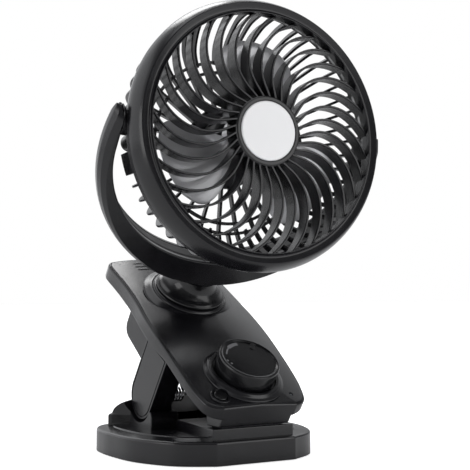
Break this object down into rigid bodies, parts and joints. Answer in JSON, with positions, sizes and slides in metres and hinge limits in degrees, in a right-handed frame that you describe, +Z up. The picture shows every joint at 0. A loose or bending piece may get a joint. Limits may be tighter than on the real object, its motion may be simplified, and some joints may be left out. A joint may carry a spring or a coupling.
{
  "type": "clip-on desk fan",
  "caption": "Portable rechargeable fan on a sprung clip that also stands as a weighted base, with a swivelling yoke, tilting head, speed knob and push button.",
  "frame": {"origin": "centre of the rubber mat's underside, on the surface that the base stands on", "axes": "+Z up, -Y towards the jaw and the air stream, +X to the right seen from the front"},
  "size_m": [0.1882, 0.169, 0.2857],
  "materials": {
    "black_satin": "fine-grained satin",
    "black_matte": "matte",
    "grey_blade": "smooth semi-gloss",
    "silver_paint": "satin silver paint",
    "rubber": "matte",
    "steel": "bright zinc",
    "spring_steel": "polished wire",
    "board_green": "coated board",
    "cell_sleeve": "shrink sleeve",
    "clear_lens": "clear light pipe"
  },
  "bodies": {
    "base": {"base_shell": "black_satin", "base_plate": "black_matte", "base_mat": "rubber", "ballast_plate": "steel", "lower_jaw_pad": "rubber", "hinge_pin": "steel", "base_screw_1": "steel", "base_screw_2": "steel", "base_screw_3": "steel", "base_screw_4": "steel", "spring_left": "spring_steel", "spring_right": "spring_steel"},
    "lever": {"upper_shell": "black_satin", "control_panel": "black_satin", "battery_case": "black_satin", "battery_cell_1": "cell_sleeve", "battery_cell_2": "cell_sleeve", "circuit_board": "board_green", "dial_switch": "black_matte", "button_switch": "black_matte", "charging_socket": "steel", "status_light": "clear_lens", "upper_jaw_pad": "rubber", "shell_screw_1": "steel", "shell_screw_2": "steel", "shell_screw_3": "steel", "shell_screw_4": "steel"},
    "button": {"push_button": "black_satin"},
    "knob": {"speed_knob": "black_satin", "knob_shaft": "steel"},
    "yoke_arm": {"swivel_bell": "black_satin", "swivel_washer": "steel", "swivel_nut": "black_matte", "yoke_screw": "steel", "yoke": "black_satin", "yoke_liner": "black_matte", "pivot_pin_left": "steel", "pivot_pin_right": "steel", "tilt_washer_left": "rubber", "tilt_washer_right": "rubber"},
    "head": {"front_bezel": "black_satin", "front_guard": "black_satin", "hub_disc": "silver_paint", "rear_guard": "black_satin", "motor_housing": "black_matte", "motor_screw_1": "steel", "motor_screw_2": "steel", "motor_screw_3": "steel"},
    "rotor": {"impeller": "grey_blade", "motor_axle": "steel"}
  },
  "joints": [
    {"name": "clip_hinge", "type": "hinge", "parent": "base", "child": "lever", "pos_m": [0, 0.01525, 0.037], "axis": [-1, 0, 0], "range_deg": [0, 35], "stiffness_Nm_per_rad": 1.2, "springref_deg": -20.05, "deforming": ["spring_left", "spring_right"]},
    {"name": "swivel", "type": "hinge", "parent": "lever", "child": "yoke_arm", "pos_m": [0, 0.0236, 0.10735], "axis": [0, -0.5794, 0.815], "range_deg": [-175, 175]},
    {"name": "tilt", "type": "hinge", "parent": "yoke_arm", "child": "head", "pos_m": [-0.00091, -0.05402, 0.20039], "axis": [0.9953, -0.0791, -0.0562], "range_deg": [-180, 180]},
    {"name": "rotor_spin", "type": "hinge", "parent": "head", "child": "rotor", "pos_m": [-0.00091, -0.05402, 0.20039], "axis": [-0.0757, -0.9953, 0.06], "continuous": true},
    {"name": "knob_turn", "type": "hinge", "parent": "lever", "child": "knob", "pos_m": [0, -0.04972, 0.05952], "axis": [0, 0.5794, -0.815], "range_deg": [0, 270]},
    {"name": "button_press", "type": "slide", "parent": "lever", "child": "button", "axis": [0, 0.5794, -0.815], "range_m": [0, 0.0008], "stiffness_N_per_m": 900, "springref_m": -0.0006}
  ]
}
